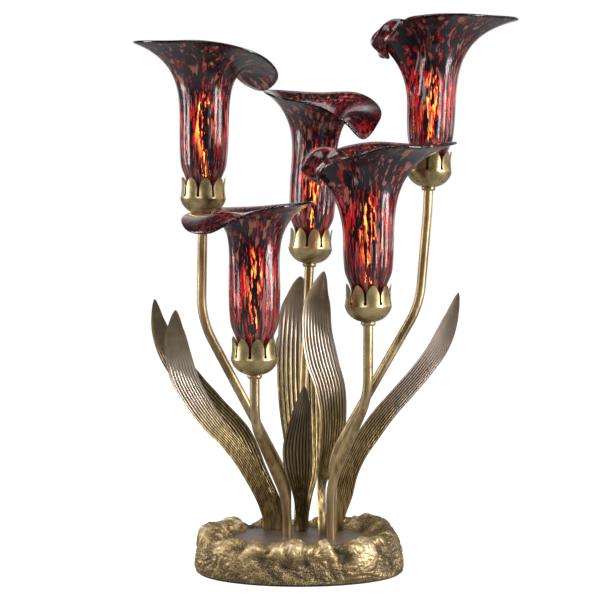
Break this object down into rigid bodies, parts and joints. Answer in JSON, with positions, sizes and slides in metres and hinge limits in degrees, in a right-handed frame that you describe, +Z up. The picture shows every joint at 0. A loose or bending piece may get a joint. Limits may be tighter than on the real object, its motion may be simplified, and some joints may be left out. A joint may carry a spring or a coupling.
{
  "type": "tulip shade table lamp",
  "caption": "Antique brass table lamp with blown glass lily shades on bent stems, ribbed metal leaves and an oval rock-like foot.",
  "frame": {"origin": "middle of the foot's underside, on the surface it stands on", "axes": "+Z up along the stems, front of the lamp towards -Y, +X to the right seen from the front"},
  "size_m": [0.3854, 0.2755, 0.5595],
  "materials": {
    "rock_casting": "antique gold over dark brown",
    "plate_metal": "satin taupe",
    "cover_steel": "matt black",
    "felt": "felt",
    "ballast_iron": "raw",
    "moulding": "moulded",
    "steel_fastener": "zinc",
    "lead_insulation": "smooth",
    "antique_brass": "antique, worn on the edges",
    "stem_brass": "antique satin",
    "leaf_metal": "brushed antique, ribbed",
    "bulb_cap_metal": "bright",
    "bulb_glass": "clear",
    "filament": "lit",
    "shade_glass": "clear casing over red, black and copper streaks"
  },
  "bodies": {
    "root": {"base_casting": "rock_casting", "base_plate": "plate_metal", "bottom_cover": "cover_steel", "felt_pad": "felt", "ballast_weight": "ballast_iron", "terminal_board": "moulding", "cord_inlet_bush": "moulding", "cover_screws": "steel_fastener", "plate_screws": "steel_fastener", "stem_nuts": "steel_fastener", "stem_washers": "steel_fastener", "cup_nuts": "steel_fastener", "stem_leads": "lead_insulation", "collars": "antique_brass", "stem_upper_left": "stem_brass", "cup_upper_left": "antique_brass", "lamp_holder_upper_left": "moulding", "bulb_cap_upper_left": "bulb_cap_metal", "bulb_glass_upper_left": "bulb_glass", "bulb_filaments_upper_left": "filament", "stem_back": "stem_brass", "cup_back": "antique_brass", "lamp_holder_back": "moulding", "bulb_cap_back": "bulb_cap_metal", "bulb_glass_back": "bulb_glass", "bulb_filaments_back": "filament", "stem_upper_right": "stem_brass", "cup_upper_right": "antique_brass", "lamp_holder_upper_right": "moulding", "bulb_cap_upper_right": "bulb_cap_metal", "bulb_glass_upper_right": "bulb_glass", "bulb_filaments_upper_right": "filament", "stem_lower_right": "stem_brass", "cup_lower_right": "antique_brass", "lamp_holder_lower_right": "moulding", "bulb_cap_lower_right": "bulb_cap_metal", "bulb_glass_lower_right": "bulb_glass", "bulb_filaments_lower_right": "filament", "stem_lower_left": "stem_brass", "cup_lower_left": "antique_brass", "lamp_holder_lower_left": "moulding", "bulb_cap_lower_left": "bulb_cap_metal", "bulb_glass_lower_left": "bulb_glass", "bulb_filaments_lower_left": "filament", "leaf_left_back": "leaf_metal", "leaf_left_front": "leaf_metal", "leaf_tall_back": "leaf_metal", "leaf_tall_front": "leaf_metal", "leaf_short_front": "leaf_metal", "leaf_right": "leaf_metal"},
    "shade_upper_left": {"shade_upper_left": "shade_glass"},
    "shade_back": {"shade_back": "shade_glass"},
    "shade_upper_right": {"shade_upper_right": "shade_glass"},
    "shade_lower_right": {"shade_lower_right": "shade_glass"},
    "shade_lower_left": {"shade_lower_left": "shade_glass"}
  },
  "joints": [
    {"name": "shade_lift_upper_left", "type": "slide", "parent": "root", "child": "shade_upper_left", "axis": [0.0188, 0, 0.9998], "range_m": [0, 0.03]},
    {"name": "shade_lift_back", "type": "slide", "parent": "root", "child": "shade_back", "axis": [0.0494, 0.0373, 0.9981], "range_m": [0, 0.03]},
    {"name": "shade_lift_upper_right", "type": "slide", "parent": "root", "child": "shade_upper_right", "axis": [0.0304, 0, 0.9995], "range_m": [0, 0.03]},
    {"name": "shade_lift_lower_right", "type": "slide", "parent": "root", "child": "shade_lower_right", "axis": [0, 0, 1], "range_m": [0, 0.03]},
    {"name": "shade_lift_lower_left", "type": "slide", "parent": "root", "child": "shade_lower_left", "axis": [0, 0, 1], "range_m": [0, 0.012]}
  ]
}
